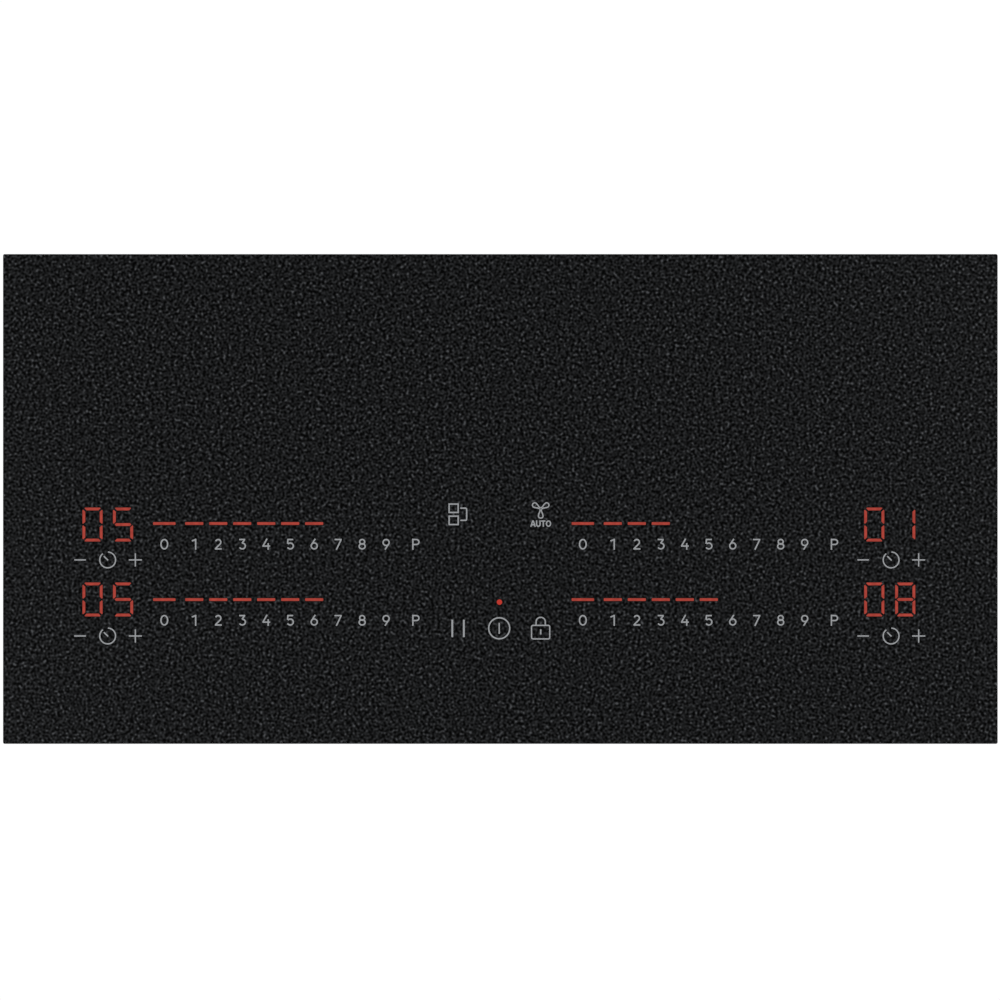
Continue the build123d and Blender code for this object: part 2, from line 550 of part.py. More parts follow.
def support_posts():
    """Clip-in pillars under the boards, and the sprung deck's posts with their spigots."""
    posts = []
    for x in SPRING_X:
        for y in SPRING_Y:
            spigot = rod(x, y, POST_TOP - 1, SPIGOT_TOP, SPIGOT_R)
            posts.append(rod(x, y, FLOOR_TOP + 0.02, POST_TOP, POST_R) + spigot)
    spots = [(x, y) for x in (BOARD_X0 + 6, BOARD_X1 - 6) for y in (BOARD_Y0 + 6, BOARD_Y1 - 6)]
    spots += [(-x, y) for x, y in spots] + [(FILTER_X0 + 5, FILTER_Y0 + 5), (FILTER_X1 - 5, FILTER_Y1 - 5)]
    for x, y in spots:
        pin = rod(x, y, BOARD_Z0 - 1, BOARD_TOP + 1, 1.9)
        posts.append(rod(x, y, FLOOR_TOP + 0.02, BOARD_Z0 - 0.02, 4.0) + pin)
    return posts


FILTER_X0, FILTER_X1, FILTER_Y0, FILTER_Y1 = 46.0, 112.0, 132.0, 188.0


def filter_board():
    board = plate(FILTER_X1 - FILTER_X0, FILTER_Y1 - FILTER_Y0, BOARD_Z0, BOARD_TOP, 2.0,
                  ((FILTER_X0 + FILTER_X1) / 2, (FILTER_Y0 + FILTER_Y1) / 2))
    spots = [(FILTER_X0 + 5, FILTER_Y0 + 5), (FILTER_X1 - 5, FILTER_Y1 - 5)]
    return cut_all(board, [rod(x, y, BOARD_Z0 - 1, BOARD_TOP + 1, 2.0) for x, y in spots])


def filter_parts():
    top = BOARD_TOP + 0.05
    choke = tube(80, 156, top, top + 14, 13, 6)
    film = block(98, 108, 136, 162, top, top + 18)
    fuse = rod_along("X", 52, 178, top + 4, 22, 3.0)
    relay = block(50, 62, 144, 166, top, top + 15)
    return [fillet(choke.edges().filter_by(GeomType.CIRCLE), 2.0), film, fuse, relay]


BLOCK_X0, BLOCK_X1 = -8.0, 36.0


def terminal_block():
    """Five-way screw terminal on the pocket's inner wall, wired from below through the access door."""
    y0, y1, z0, z1 = 150.0, POCKET_Y - 1.05, -44.0, -24.0
    body = block(BLOCK_X0, BLOCK_X1, y0, y1, z0, z1)
    cutters = []
    for n in range(5):
        x = BLOCK_X0 + 4.6 + 8.7 * n
        cutters.append(block(x - 3.2, x + 3.2, y0 - 1, y0 + 12, z0 - 1, z0 + 9))
        cutters.append(rod_along("Y", x, y0 - 1, -29.0, 8, 2.6))
    return cut_all(body, cutters)


def terminal_screws():
    screws = []
    for n in range(5):
        x = BLOCK_X0 + 4.6 + 8.7 * n
        screw = rod_along("Y", x, 151.5, -29.0, 5, 2.45)
        screws.append(screw - block(x - 2, x + 2, 150, 152.3, -29.3, -28.7))
    return screws


def cable_gland():
    """Mains cable entry: neck through the pocket wall, hexagon body and dome nut, bored for the cable."""
    y_wall = POCKET_Y
    neck = rod_along("Y", GLAND_X, y_wall - 8, GLAND_Z, 9, 8.0)
    hexagon = Pos(GLAND_X, y_wall + 0.05, GLAND_Z) * Rot(-90, 0, 0) * extrude(RegularPolygon(11, 6), 5.0)
    dome = rod_along("Y", GLAND_X, y_wall + 5.05, GLAND_Z, 11, 9.6)
    dome = fillet(dome.faces().sort_by(Axis.Y)[-1].edges(), 2.5)
    locknut = Pos(GLAND_X, y_wall - 1.05, GLAND_Z) * Rot(90, 0, 0) * extrude(RegularPolygon(10.5, 6), 4.0)
    gland = neck + hexagon + dome + locknut
    return gland - rod_along("Y", GLAND_X, y_wall - 10, GLAND_Z, 40, 5.5)


# ---- touch panel electronics --------------------------------------------------------------------
PANEL_X = -1.0  # middle of the control layout
ROW_YS = (-21.9, -89.2)  # light bars of the rear and front rows
DIGIT_DY, NUMBER_DY, TIMER_DY = -0.8, -18.5, -32.5
DISPLAY_X, DISPLAY_W, DISPLAY_D = 346.0, 54.0, 34.0
SLIDER_XS = (-297.3, 73.0)  # the zero marks of the left and right sliders
STEP_0, STEP_X, STEP_P = 26.5, 21.22, 26.1
TIMER_STEP = 24.5
UI_BOARD_Z0, UI_BOARD_T = -7.6, 1.6
UI_TOP = UI_BOARD_Z0 + UI_BOARD_T
UI_HALF_W, UI_Y0, UI_Y1 = 384.0, -140.0, -4.0
PAD_TOP = GLASS_Z - 0.05
ICON_SPOTS = ((-37.5, -13.5), (35.5, -13.5), (-37.0, -114.5), (0.0, -114.5), (36.5, -114.5))
CARRIER_Z0 = -12.0


def slider_marks(x0):
    """X of the eleven marks of one slider: 0, 1 to 9, and boost."""
    ones = [x0 + STEP_0 + STEP_X * n for n in range(9)]
    return [x0] + ones + [ones[-1] + STEP_P]


def touch_board():
    return plate(2 * UI_HALF_W, UI_Y1 - UI_Y0, UI_BOARD_Z0, UI_TOP, 3.0, (0, (UI_Y0 + UI_Y1) / 2))


def touch_pads():
    """Conductive foam pads from the board to the glass, one under each touch mark."""
    spots = []
    for row_y in ROW_YS:
        for x0 in SLIDER_XS:
            spots += [(x, row_y + NUMBER_DY) for x in slider_marks(x0)]
        for s in (-1, 1):
            middle = PANEL_X + s * DISPLAY_X
            spots += [(middle + k * TIMER_STEP, row_y + TIMER_DY) for k in (-1, 0, 1)]
    spots += [(PANEL_X + x, y) for x, y in ICON_SPOTS]
    return [rod(x, y, UI_TOP + 0.05, PAD_TOP, 5.0) for x, y in spots]


def display_module(side, row_y):
    """Two-digit seven-segment display: a black case with its segment windows sunk in the face."""
    x, y = PANEL_X + side * DISPLAY_X, row_y + DIGIT_DY
    case = plate(DISPLAY_W, DISPLAY_D, UI_TOP + 0.05, GLASS_Z - 0.5, 1.0, (x, y))
    windows = []
    for digit in (-13.6, 13.6):
        for dy in (-13.8, 0, 13.8):
            windows.append(block(x + digit - 5.6, x + digit + 5.6, y + dy - 1.2, y + dy + 1.2, 0.9, 3))
        for dx in (-7.6, 7.6):
            for dy in (-6.9, 6.9):
                wx = x + digit + dx
                windows.append(block(wx - 1.2, wx + 1.2, y + dy - 5, y + dy + 5, 0.9, 3))
    return cut_all(case, windows)


def light_bars():
    """Four bars of LED light guides, one per slider, with a slot of light per mark."""
    bars = []
    for row_y in ROW_YS:
        for x0 in SLIDER_XS:
            marks = slider_marks(x0)
            bar = block(x0 - 12, marks[-1] + 12, row_y - 5, row_y + 5, UI_TOP + 0.05, GLASS_Z - 0.5)
            slots = [block(x - 7.6, x + 7.6, row_y - 1.3, row_y + 1.3, 0.9, 3) for x in marks]
            bars.append(cut_all(bar, slots))
    return bars


def pilot_lamp():
    lamp = rod(PANEL_X, -91.2, UI_TOP + 0.05, -1.0, 3.0)
    return lamp + Pos(PANEL_X, -91.2, -1.0) * Sphere(2.4)


def control_carrier():
    """Moulded carrier under the touch board, on eight legs that stand on the tray floor."""
    x, y0, y1 = UI_HALF_W + 4, UI_Y0 - 4, UI_Y1 + 2
    deck = block(-x, x, y0, y1, CARRIER_Z0, UI_TOP + 1.5)
    deck -= block(-x + 2.4, x - 2.4, y0 + 2.4, y1 - 1.4, UI_BOARD_Z0 - 0.05, 5)
    deck -= block(-x + 14, x - 14, y0 + 14, y1 - 14, CARRIER_Z0 + 2, 5)
    middles = (-300, -180, -60, 60, 180, 300)
    windows = [block(c - 40, c + 40, y0 + 24, y1 - 24, CARRIER_Z0 - 1, 0) for c in middles]
    deck = cut_all(deck, windows)
    for leg_x in (-375, -165, 165, 375):
        for leg_y in (y0 + 8, y1 - 8):
            deck += rod(leg_x, leg_y, FLOOR_TOP + 0.02, CARRIER_Z0 + 1, 4.5)
    return deck


def ribbon_cables():
    """Flat cables from the touch board, through the carrier's windows, to each power board's connector."""
    y_drop, y_end, z_low, t = -31.0, BOARD_Y0 + 0.95, BOARD_TOP + 3, 0.8
    z_top = UI_BOARD_Z0 - 0.05
    corners = [(y_drop, z_top), (y_drop + t, z_top), (y_drop + t, z_low + t), (y_end, z_low + t),
               (y_end, z_low), (y_drop, z_low)]
    ribbon = Pos(RIBBON_X, 0, 0) * extrude(Plane.YZ * make_face(Polyline(*corners, close=True)), RIBBON_W)
    return [ribbon, mirrored(ribbon)]


# ---- writing the sub-parts ----------------------------------------------------------------------
def write_housing():
    save("glass_top", glass_top())
    save("worktop_seal", worktop_seal())
    save("glass_bond", glass_bond())
    save("support_frame", *support_frame())
    save("base_tray", *base_tray())
    save("tray_screws", *tray_screws())
    save("terminal_cover", terminal_cover())
    save("terminal_cover_screws", *terminal_cover_screws())
    save("rating_plate", rating_plate())
    save("centring_springs", *centring_springs())


def write_clamps():
    save("clamp_brackets", *clamp_brackets())
    save("clamp_screws", *clamp_screws())
    for corner in CLAMPS:
        save(f"clamp_nut_{corner}", clamp_nut(corner))
        save(f"clamp_arm_{corner}", clamp_arm(corner))


def write_coil_deck():
    save("coil_deck_plate", coil_deck_plate())
    save("ferrite_bars", *ferrites())
    save("mica_sheet", mica_sheet())
    save("zone_sensors", *zone_sensors())
    for n, x in enumerate(ZONE_XS, 1):
        save(f"coil_former_{n}", coil_former(x))
        save(f"coil_winding_{n}", coil_winding(x))
    save("deck_springs", *coil_springs())
    save("coil_leads", *coil_leads())


def write_power():
    pairs = {"power_board": [power_board()], "heat_sink": [heat_sink()], "power_transistors": transistors(),
             "board_parts": board_parts(), "fan_housing": [fan_housing()], "fan_rotor": [fan_rotor()]}
    for name, shapes in pairs.items():
        save(f"{name}_right", *shapes)
        save(f"{name}_left", *[mirrored(s) for s in shapes])
    save("insulation_liner", *insulation_liner())
    save("support_posts", *support_posts())
    save("filter_board", filter_board())
    save("filter_parts", *filter_parts())
    save("terminal_block", terminal_block())
    save("terminal_screws", *terminal_screws())
    save("cable_gland", cable_gland())


def write_touch_panel():
    save("touch_board", touch_board())
    save("touch_pads", *touch_pads())
    save("display_modules", *[display_module(side, row_y) for side in (-1, 1) for row_y in ROW_YS])
    save("light_bars", *light_bars())
    save("pilot_lamp", pilot_lamp())
    save("control_carrier", control_carrier())
    save("ribbon_cables", *ribbon_cables())


write_housing()
write_clamps()
write_coil_deck()
write_power()
write_touch_panel()
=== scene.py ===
# %% [markdown]
# # A built-in induction hob
# The hob is a black glass plate on a steel tray that hangs in a cut-out of the worktop.
# The solid parts come from the CAD model, already in place and to size.
# Here they get their finishes, and the pieces that only Blender makes well are added:
# the printed scales, the lit segments under the glass, and the wound coils.

import math

import bmesh
import bpy
from mathutils import Matrix, Vector


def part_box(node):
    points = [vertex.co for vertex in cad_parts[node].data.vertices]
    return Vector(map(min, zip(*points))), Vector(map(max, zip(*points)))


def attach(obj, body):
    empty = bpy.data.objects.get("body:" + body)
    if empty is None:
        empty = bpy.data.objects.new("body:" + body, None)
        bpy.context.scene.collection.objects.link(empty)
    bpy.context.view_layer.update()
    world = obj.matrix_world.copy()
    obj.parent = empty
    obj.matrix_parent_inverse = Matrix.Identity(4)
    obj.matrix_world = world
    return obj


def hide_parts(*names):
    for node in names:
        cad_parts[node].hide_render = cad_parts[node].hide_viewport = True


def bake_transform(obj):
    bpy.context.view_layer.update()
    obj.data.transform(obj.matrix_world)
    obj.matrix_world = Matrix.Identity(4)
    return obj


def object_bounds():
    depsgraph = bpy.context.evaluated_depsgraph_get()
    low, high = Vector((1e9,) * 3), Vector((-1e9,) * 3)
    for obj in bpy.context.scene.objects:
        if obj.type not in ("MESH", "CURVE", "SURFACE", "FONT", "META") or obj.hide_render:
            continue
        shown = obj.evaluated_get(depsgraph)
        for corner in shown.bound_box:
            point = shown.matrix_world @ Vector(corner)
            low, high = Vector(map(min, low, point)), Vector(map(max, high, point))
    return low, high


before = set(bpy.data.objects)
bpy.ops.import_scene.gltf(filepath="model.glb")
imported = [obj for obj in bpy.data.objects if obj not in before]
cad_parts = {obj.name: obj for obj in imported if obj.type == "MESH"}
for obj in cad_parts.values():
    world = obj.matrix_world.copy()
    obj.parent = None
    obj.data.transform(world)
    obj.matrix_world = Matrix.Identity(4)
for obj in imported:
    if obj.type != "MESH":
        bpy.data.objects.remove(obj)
cad_box = [list(corner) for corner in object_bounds()]
scene = bpy.context.scene
MM = 0.001

# %% [markdown]
# ## Camera
# A flat plate with fine print reads best from straight above,
# through a long lens that keeps its edges parallel.
# The lens and the sensor give the distance at which the view is as wide as wanted.

# %% Camera
glass_low, glass_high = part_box("glass_top")
LENS, SENSOR, VIEW_WIDTH = 200.0, 36.0, 0.88470
VIEW_CENTRE = (-0.0003, -0.0009)
camera_data = bpy.data.cameras.new("camera")
camera_data.lens = LENS
camera_data.sensor_width = SENSOR
camera_data.clip_end = 100.0
camera = bpy.data.objects.new("camera", camera_data)
scene.collection.objects.link(camera)
distance = VIEW_WIDTH * LENS / SENSOR
camera.location = (*VIEW_CENTRE, glass_high.z + distance)
scene.camera = camera
print("camera height above the glass:", round(distance, 3))

# %% [markdown]
# ## Light and floor
# A matt black plate needs little: two broad softboxes on either side light it evenly,
# and none stands where the glass would mirror it to someone looking straight down.
# The pale floor gives off its own soft light, so that the tray's underside can be seen too.
# It shows from above only: from below its back faces are clear.

# %% Lights
scene.view_settings.view_transform = "Standard"


def softbox(name, place, size, power):
    """A square area light that faces the hob."""
    data = bpy.data.lights.new(name, "AREA")
    data.size = size
    data.energy = power
    light = bpy.data.objects.new(name, data)
    light.location = place
    light.rotation_euler = (Vector((0, 0, 0)) - Vector(place)).to_track_quat("-Z", "Y").to_euler()
    scene.collection.objects.link(light)


softbox("softbox_left", (-2.6, -1.0, 1.7), 1.4, 90)
softbox("softbox_right", (2.6, 1.0, 1.7), 1.4, 90)
softbox("softbox_front", (0.3, -2.8, 1.5), 1.0, 30)
SKY_COLOUR, SKY_STRENGTH = (0.9, 0.95, 1.0, 1), 0.05
world = bpy.data.worlds.new("studio")
world.use_nodes = True
world.node_tree.nodes["Background"].inputs["Color"].default_value = SKY_COLOUR
world.node_tree.nodes["Background"].inputs["Strength"].default_value = SKY_STRENGTH
scene.world = world

# %% Floor
FLOOR_HALF, FLOOR_GAP = 8.0, 0.0005
PAPER_COLOUR, PAPER_STRENGTH = (0.985, 0.99, 0.995, 1), 1.04
floor_mesh = bpy.data.meshes.new("floor")
floor_shape = bmesh.new()
bmesh.ops.create_grid(floor_shape, x_segments=1, y_segments=1, size=FLOOR_HALF)
bmesh.ops.translate(floor_shape, verts=floor_shape.verts, vec=(0, 0, cad_box[0][2] - FLOOR_GAP))
floor_shape.to_mesh(floor_mesh)
floor_shape.free()
floor = bpy.data.objects.new("floor", floor_mesh)
scene.collection.objects.link(floor)
floor_paint = bpy.data.materials.new("floor_paper")
floor_paint.use_nodes = True
floor_nodes, floor_links = floor_paint.node_tree.nodes, floor_paint.node_tree.links
floor_nodes.remove(floor_nodes["Principled BSDF"])
paper = floor_nodes.new("ShaderNodeEmission")
paper.inputs["Color"].default_value = PAPER_COLOUR
paper.inputs["Strength"].default_value = PAPER_STRENGTH
clear = floor_nodes.new("ShaderNodeBsdfTransparent")
side = floor_nodes.new("ShaderNodeNewGeometry")
choose = floor_nodes.new("ShaderNodeMixShader")
floor_links.new(side.outputs["Backfacing"], choose.inputs[0])
floor_links.new(paper.outputs[0], choose.inputs[1])
floor_links.new(clear.outputs[0], choose.inputs[2])
floor_links.new(choose.outputs[0], floor_nodes["Material Output"].inputs["Surface"])
floor_mesh.materials.append(floor_paint)

# %% [markdown]
# ## A helper for finishes
# Most finishes are the same few nodes: a pattern in the piece's own Object coordinates (metres),
# a colour ramp that turns it into two or more tones, a spread of roughness, and a bump.
# Object coordinates stay with the piece when it moves, and need no unwrapping.

# %% Finish helper


def add_node(mat, kind, inputs=None, **settings):
    """A new node with its sockets and settings filled in."""
    made = mat.node_tree.nodes.new(kind)
    for key, value in settings.items():
        setattr(made, key, value)
    for key, value in (inputs or {}).items():
        made.inputs[key].default_value = value
    return made


def join(mat, source, output, target, socket):
    mat.node_tree.links.new(source.outputs[output], target.inputs[socket])


def bare_material(name, metallic=0.0, **sockets):
    mat = bpy.data.materials.new(name)
    mat.use_nodes = True
    shader = mat.node_tree.nodes["Principled BSDF"]
    shader.inputs["Metallic"].default_value = metallic
    for key, value in sockets.items():
        shader.inputs[key.replace("_", " ")].default_value = value
    return mat, shader


def object_pattern(mat, stretch=(1, 1, 1), centre=(0, 0, 0)):
    """Object coordinates, moved to a centre and stretched."""
    coords = add_node(mat, "ShaderNodeTexCoord")
    placing = add_node(mat, "ShaderNodeMapping", vector_type="TEXTURE")
    placing.inputs["Location"].default_value = centre
    placing.inputs["Scale"].default_value = [1 / s for s in stretch]
    join(mat, coords, "Object", placing, "Vector")
    return placing


def tone_ramp(mat, stops):
    """A colour ramp with the given (position, colour) stops."""
    ramp = add_node(mat, "ShaderNodeValToRGB")
    points = ramp.color_ramp.elements
    for n, (place, colour) in enumerate(stops):
        element = points[0] if n == 0 else points.new(place)
        element.position = place
        element.color = (*colour, 1)
    points.remove(points[-1])
    return ramp


def spread(mat, low, high, source, output, target, socket, start=0.3, end=0.7):
    """Maps a pattern onto a range of values of one socket."""
    limits = {"From Min": start, "From Max": end, "To Min": low, "To Max": high}
    ranged = add_node(mat, "ShaderNodeMapRange", limits)
    join(mat, source, output, ranged, "Value")
    join(mat, ranged, "Result", target, socket)


def raise_bump(mat, source, output, shader, height, strength=1.0):
    """A bump of the given real height in metres."""
    bump = add_node(mat, "ShaderNodeBump", {"Strength": strength, "Distance": height})
    join(mat, source, output, bump, "Height")
    join(mat, bump, "Normal", shader, "Normal")


def grained(name, tones, scale, rough, height, metallic=0.0, stretch=(1, 1, 1), detail=3.0, **sockets):
    """A finish from one noise: tones from dark to light, a roughness range and a fine relief."""
    mat, shader = bare_material(name, metallic, **sockets)
    place = object_pattern(mat, stretch)
    noise = add_node(mat, "ShaderNodeTexNoise", {"Scale": scale, "Detail": detail, "Roughness": 0.55})
    join(mat, place, "Vector", noise, "Vector")
    ramp = tone_ramp(mat, [(0.32, tones[0]), (0.68, tones[1])])
    join(mat, noise, "Fac", ramp, "Fac")
    join(mat, ramp, "Color", shader, "Base Color")
    spread(mat, rough[0], rough[1], noise, "Fac", shader, "Roughness")
    raise_bump(mat, noise, "Fac", shader, height)
    return mat


FINISH = {}  # a node's name or the start of it, and its finish

# %% [markdown]
# ## The matt glass
# The top is black glass ceramic with an etched, non-slip print all over: light and dark specks a few
# millimetres apart. Real specks are irregular and of one size, so a single band of noise is right.
# Alone it runs in worm-like lines along its own grid; three layers turned against each other and added
# give loose, even specks. The ramp is steeper on the light side: the bright specks are rarer and stand
# out more than the dark ones.

# %% Matt speckled glass
glass_finish, glass_shader = bare_material("matt_speckled_glass", Specular_IOR_Level=0.09)
SPECK_SCALE, LAYERS, LAYER_TURN = 395.0, 3, 37
total = None
for layer in range(LAYERS):
    coords = object_pattern(glass_finish)
    coords.inputs["Rotation"].default_value = (0, 0, math.radians(LAYER_TURN * layer))
    specks = add_node(
        glass_finish, "ShaderNodeTexNoise", {"Scale": SPECK_SCALE, "Detail": 0.0}, noise_dimensions="2D"
    )
    join(glass_finish, coords, "Vector", specks, "Vector")
    if total is None:
        total, output = specks, "Fac"
        continue
    both = add_node(glass_finish, "ShaderNodeMath", operation="ADD")
    join(glass_finish, total, output, both, 0)
    join(glass_finish, specks, "Fac", both, 1)
    total, output = both, "Value"
gain = 1 / math.sqrt(LAYERS)
speck = add_node(
    glass_finish, "ShaderNodeMath", {1: gain, 2: 0.5 - 0.5 * LAYERS * gain}, operation="MULTIPLY_ADD"
)
join(glass_finish, total, output, speck, 0)
TINT = (0.955, 1.0, 1.065)
SPECK_TONES = (
    (0.184, 0.0001), (0.276, 0.0009), (0.408, 0.0046), (0.500, 0.0077),
    (0.592, 0.0118), (0.724, 0.0213), (0.816, 0.0354), (0.920, 0.0660),
)
speck_ramp = tone_ramp(glass_finish, [(place, [tone * t for t in TINT]) for place, tone in SPECK_TONES])
join(glass_finish, speck, "Value", speck_ramp, "Fac")
join(glass_finish, speck_ramp, "Color", glass_shader, "Base Color")
spread(glass_finish, 0.40, 0.48, speck, "Value", glass_shader, "Roughness")
raise_bump(glass_finish, speck, "Value", glass_shader, 0.00003, 0.5)

# %% [markdown]
# ## The glass plate
# The plate is cut with nearly sharp corners, and its arrises are only just broken by grinding.
# A box is enough for the start: one bevel rounds its four corners, a second one breaks its rims.
# The print covers the top face alone. The ground edge and the underside are plain dark glass,
# so those faces take a second material.

# %% Plate helper


def new_piece(name, shape, finishes, body):
    """A mesh object at the origin from a finished bmesh."""
    mesh = bpy.data.meshes.new(name)
    shape.to_mesh(mesh)
    shape.free()
    piece = bpy.data.objects.new(name, mesh)
    scene.collection.objects.link(piece)
    for finish in finishes:
        mesh.materials.append(finish)
    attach(piece, body)
    print(name, "faces:", len(mesh.polygons))
    return piece


def cut_edges(shape, edges, size, steps):
    """Cuts edges off flat with one step, or rounds them with more."""
    bmesh.ops.bevel(
        shape, geom=edges, offset=size, offset_type="OFFSET", affect="EDGES",
        segments=steps, profile=0.5, material=-1,
    )


# %% Cut the glass
edge_finish = grained(
    "ground_glass_edge", ((0.0022, 0.0024, 0.0026), (0.0050, 0.0054, 0.0058)),
    500.0, (0.30, 0.42), 0.000003, Specular_IOR_Level=0.15,
)
CORNER_R, ARRIS = 0.0015, 0.0002
pane = bmesh.new()
bmesh.ops.create_cube(pane, size=1.0)
bmesh.ops.scale(pane, verts=pane.verts, vec=glass_high - glass_low)
bmesh.ops.translate(pane, verts=pane.verts, vec=(glass_high + glass_low) / 2)
corners = [e for e in pane.edges if abs(e.verts[0].co.z - e.verts[1].co.z) > 0.001]
cut_edges(pane, corners, CORNER_R, 6)
rims = [e for e in pane.edges if abs(e.verts[0].co.z - e.verts[1].co.z) < 1e-6]
cut_edges(pane, rims, ARRIS, 2)
bmesh.ops.recalc_face_normals(pane, faces=pane.faces)
for face in pane.faces:
    face.material_index = 0 if face.normal.z > 0.999 else 1
plate = new_piece("glass_plate", pane, [glass_finish, edge_finish], "hob")
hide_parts("glass_top")

# %% [markdown]
# ## Prints on the glass
# The scales and icons are thin ceramic ink. Each stroke here is a flat ribbon: a curve through a few
# points, swept with a thin rectangle as its bevel object. That gives the even line width and square ends
# of a printed mark. Text objects would be quicker, but their letter shapes aren't those of this scale.

# %% Where the marks are
ROWS = (-21.7, -89.0)
SLIDERS = (-297.3, 73.0)
FIRST_STEP, STEP, LAST_STEP = 26.5, 21.22, 26.1
NUMBER_DROP, TIMER_DROP, DIGIT_DROPS = 18.3, 32.2, (0.9, -0.1)
LIT_LEVELS = {(0, 0): 7, (0, 1): 4, (1, 0): 7, (1, 1): 6}
READINGS = {(0, 0): "05", (0, 1): "01", (1, 0): "05", (1, 1): "08"}
DIGIT_PLACES = ((-360.8, -333.8), (330.8, 358.2))
TIMER_PLACES = ((-371.8, -347.4, -322.9), (321.0, 345.7, 370.1))


def mark_places(start):
    """X of the marks 0, 1 to 9 and P of one slider."""
    places = [start] + [start + FIRST_STEP + STEP * n for n in range(9)]
    return places + [places[-1] + LAST_STEP]


print("marks of the left slider:", [round(x, 1) for x in mark_places(SLIDERS[0])])

# %% Strokes of the numbers


def arc(cx, cy, rx, ry, start, end, steps=20):
    """Points along part of an ellipse, angles in degrees."""
    turn = [math.radians(start + (end - start) * n / steps) for n in range(steps + 1)]
    return [(cx + rx * math.cos(a), cy + ry * math.sin(a)) for a in turn]


RING_POINTS = 40


def loop(cx, cy, rx, ry):
    """A whole ellipse, without its last point, which would repeat the first."""
    return arc(cx, cy, rx, ry, 0, 360, RING_POINTS)[:-1]


INK_WIDTH = 1.22
GLYPHS = {
    "0": [loop(0, 0, 2.95, 4.15)],
    "1": [[(1.25, -4.9), (1.25, 4.85)], [(-2.1, 2.85), (1.3, 4.15)]],
    "2": [arc(0, 1.8, 2.3, 2.35, 160, -38) + [(-2.5, -4.0)], [(-2.95, -4.15), (3.1, -4.15)]],
    "3": [[(-2.7, 4.15), (2.6, 4.15)], [(2.25, 4.1), (-0.15, 1.0)], arc(0.05, -1.6, 2.7, 2.55, 97, -150)],
    "4": [[(0.75, 4.85), (-2.95, -1.75)], [(-3.3, -1.65), (3.45, -1.65)], [(1.75, 0.9), (1.75, -4.9)]],
    "5": [
        [(-2.1, 4.15), (2.65, 4.15)],
        [(-1.95, 4.7), (-2.35, 0.45)],
        arc(0.05, -1.55, 2.7, 2.6, 138, -150),
    ],
    "6": [loop(0, -1.5, 2.68, 2.65), [(1.0, 4.75), (-2.2, -0.1)]],
    "7": [[(-3.2, 4.15), (3.1, 4.15)], [(2.7, 4.2), (-1.6, -4.85)]],
    "8": [loop(0, 2.1, 2.2, 2.05), loop(0, -1.85, 2.65, 2.3)],
    "9": [loop(0, 1.5, 2.68, 2.65), [(2.2, 0.1), (-1.0, -4.75)]],
    "P": [
        [(-2.45, -4.9), (-2.45, 4.9)],
        [(-2.5, 4.15), (0.6, 4.15)] + arc(0.6, 1.95, 2.35, 2.2, 90, -90)[1:] + [(-2.5, -0.25)],
    ],
    "A": [[(-1.95, -2.8), (-0.15, 2.8)], [(1.95, -2.8), (0.15, 2.8)], [(-1.2, -1.0), (1.2, -1.0)]],
    "U": [[(-1.55, 2.8), (-1.55, -0.6)] + arc(0, -0.65, 1.55, 1.65, 180, 360)[1:] + [(1.55, 2.8)]],
    "T": [[(-1.9, 2.3), (1.9, 2.3)], [(0, 2.4), (0, -2.8)]],
    "O": [loop(0, 0, 1.85, 2.3)],
}
strokes = []


def draw(points, width=INK_WIDTH, at=(0, 0), closed=False):
    """Keeps one stroke for later: points in mm, moved to a place."""
    strokes.append(([(x + at[0], y + at[1]) for x, y in points], width, closed))


def is_ring(points):
    """Whether a stroke comes from loop, and so has to be closed."""
    return len(points) == RING_POINTS


def write(sign, x, y, width=INK_WIDTH):
    for points in GLYPHS[sign]:
        draw(points, width, (x, y), is_ring(points))


# %% Scales and timer marks
FINE_INK = 1.10
for row in ROWS:
    for start in SLIDERS:
        for sign, x in zip("0123456789P", mark_places(start)):
            write(sign, x, row - NUMBER_DROP)
    for minus, clock, plus in TIMER_PLACES:
        y = row - TIMER_DROP
        draw([(-5.1, 0), (5.1, 0)], FINE_INK, (minus, y))
        draw([(-5.8, 0), (5.8, 0)], FINE_INK, (plus, y))
        draw([(0, -5.8), (0, 5.8)], FINE_INK, (plus, y))
        draw(arc(0, 0, 7.0, 7.0, 88, -232, 44), FINE_INK, (clock, y))
        draw([(0.4, -0.4), (-3.4, 3.3)], FINE_INK, (clock, y))
print("strokes so far:", len(strokes))

# %% [markdown]
# The icons in the middle are drawn in the same way. A square's sides overlap at its corners,
# which keeps them sharp.
# The fan has three outlined blades, each a closed teardrop that starts and ends at the hub.

# %% Icons


def square_frame(x0, x1, y0, y1, width):
    """Four sides whose ends run on to the outer corners."""
    half = width / 2
    for y in (y0 + half, y1 - half):
        draw([(x0, y), (x1, y)], width)
    for x in (x0 + half, x1 - half):
        draw([(x, y0), (x, y1)], width)


ICON_INK, FAN_INK, PAUSE_INK, KEYHOLE_INK = 1.2, 1.1, 1.6, 1.3
BRACKET_BEND, LOCK_BEND = 1.1, 1.4
for low_y, high_y in ((-12.5, -3.9), (-23.2, -14.6)):
    square_frame(-45.9, -36.7, low_y, high_y, ICON_INK)
bracket = [(-35.4, -8.1)] + arc(-30.9, -9.2, BRACKET_BEND, BRACKET_BEND, 90, 0, 5)
bracket += arc(-30.9, -17.8, BRACKET_BEND, BRACKET_BEND, 0, -90, 5) + [(-35.4, -18.9)]
draw(bracket, ICON_INK)


def blade(turn):
    """A teardrop outline from the hub out and back."""
    outline = [(0.3, 0.3), (2.6, 0.8), (4.8, 1.8)] + arc(6.3, 0, 1.95, 2.05, 118, -118, 14)
    outline += [(4.8, -1.8), (2.6, -0.8), (0.3, -0.3)]
    cosine, sine = math.cos(math.radians(turn)), math.sin(math.radians(turn))
    return [(x * cosine - y * sine, x * sine + y * cosine) for x, y in outline]


